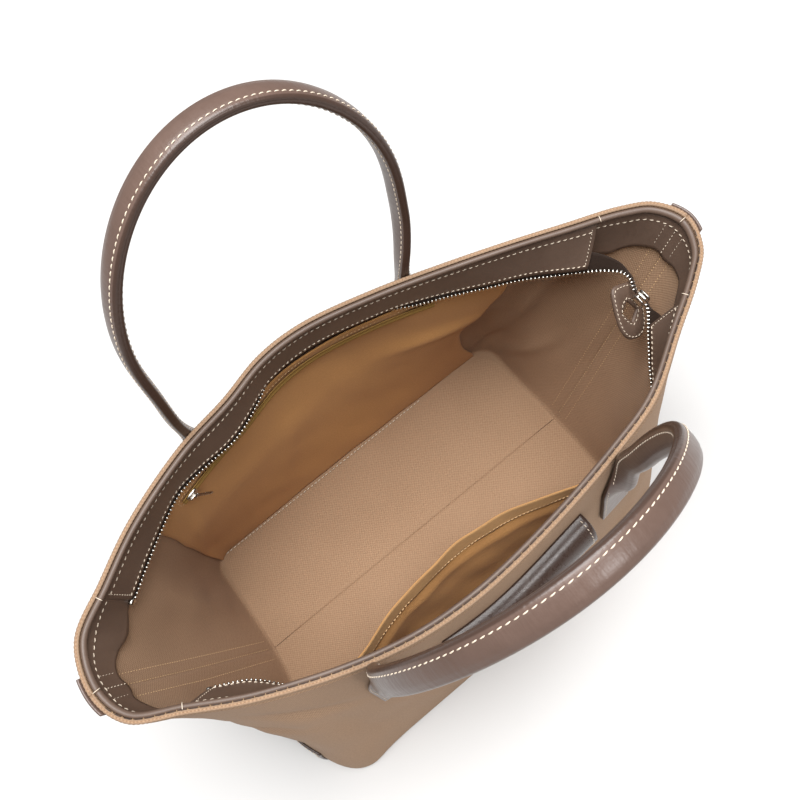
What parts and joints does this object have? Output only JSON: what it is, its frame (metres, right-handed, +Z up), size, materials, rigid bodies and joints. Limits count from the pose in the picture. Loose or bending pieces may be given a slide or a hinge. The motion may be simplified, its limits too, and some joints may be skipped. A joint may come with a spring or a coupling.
{
  "type": "shoulder tote bag",
  "caption": "Open canvas tote that stands on a flat base, with folded leather shoulder handles, a rolled leather rim, inner facings that carry a zip, and cloth pockets.",
  "frame": {"origin": "under the middle of the base, on the surface that the bag stands on", "axes": "+X along the bag towards its right end, +Y towards its back, +Z up"},
  "size_m": [0.4693, 0.2849, 0.4175],
  "materials": {
    "canvas": "tan plain-woven cotton canvas",
    "pocket_cloth": "ochre cotton cloth",
    "zip_tape": "dark brown herringbone tape",
    "pocket_tape": "olive tan woven tape",
    "facing_leather": "smooth dark brown leather, satin",
    "handle_leather": "smooth taupe brown leather, satin",
    "metal": "bright silver-coloured zip metal"
  },
  "bodies": {
    "root": {"canvas_back": "canvas", "canvas_front": "canvas", "rim_edge_back": "facing_leather", "rim_edge_front": "facing_leather", "facing_back": "facing_leather", "facing_front": "facing_leather", "facing_end_left": "facing_leather", "facing_end_right": "facing_leather", "zip_tape_back": "zip_tape", "zip_tape_front": "zip_tape", "zip_chain_back": "metal", "zip_chain_front": "metal", "zip_stop_back": "metal", "zip_stop_front": "metal", "zip_slider": "metal", "zip_end_tab": "handle_leather", "pocket_back": "pocket_cloth", "pocket_zip_tape": "pocket_tape", "pocket_zip_slider": "metal", "pocket_front": "pocket_cloth", "handle_back": "handle_leather", "handle_front": "handle_leather", "front_sleeve": "handle_leather", "end_strip_left": "handle_leather", "end_strip_right": "handle_leather", "base_patch_left": "facing_leather", "base_patch_right": "facing_leather"}
  },
  "joints": []
}
